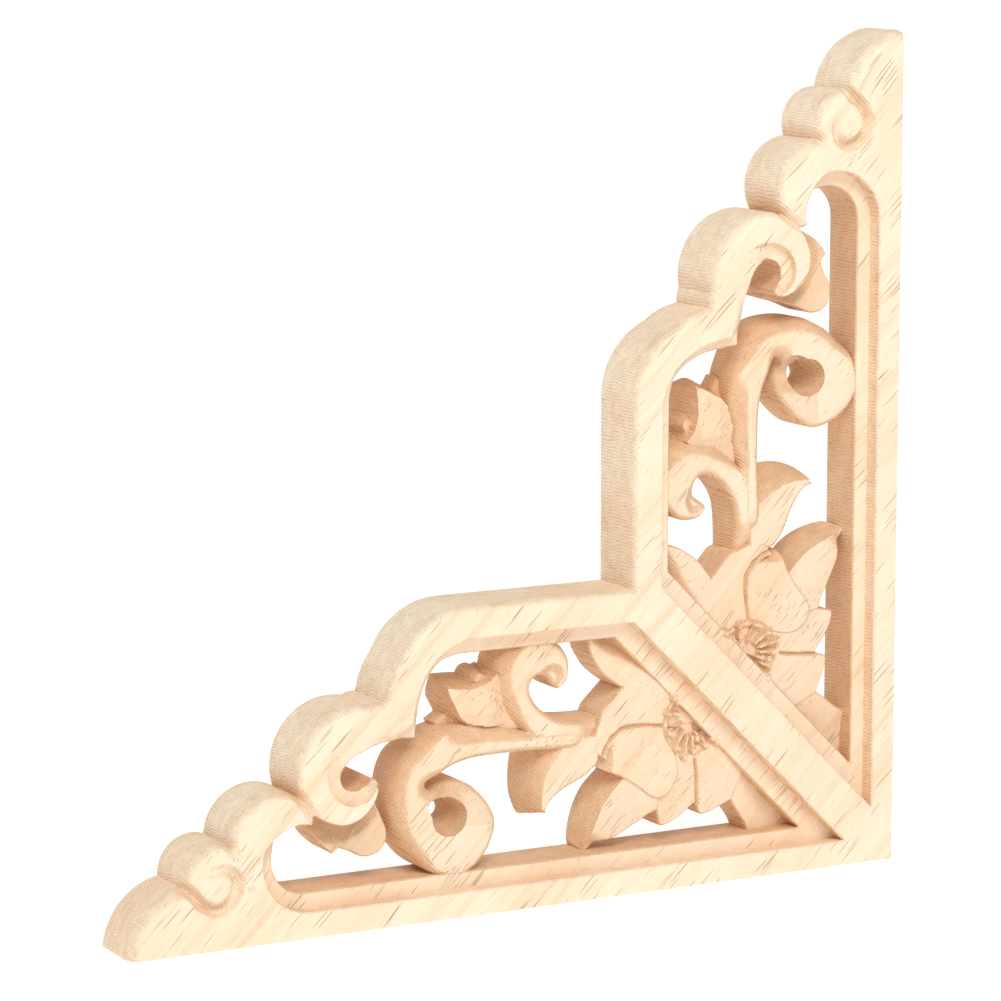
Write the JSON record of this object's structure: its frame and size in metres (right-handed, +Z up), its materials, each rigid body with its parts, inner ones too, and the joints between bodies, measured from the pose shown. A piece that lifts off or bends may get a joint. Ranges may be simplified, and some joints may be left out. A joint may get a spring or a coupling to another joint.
{
  "type": "carved wooden corner onlay",
  "caption": "Right-angled pierced corner onlay of bare wood: two moulded legs, a scalloped inner side, a flower on a diagonal strap, and leafy scrolls.",
  "frame": {"origin": "centre of the bounding box's bottom, on the lower leg's straight outer edge", "axes": "+Z up along the upright leg, +X towards the right angle along the lower leg, -Y out of the carved front"},
  "size_m": [0.2, 0.016, 0.2],
  "materials": {
    "rubberwood": "bare sanded wood, unfinished"
  },
  "bodies": {
    "root": {"corner_onlay": "rubberwood"}
  },
  "joints": []
}
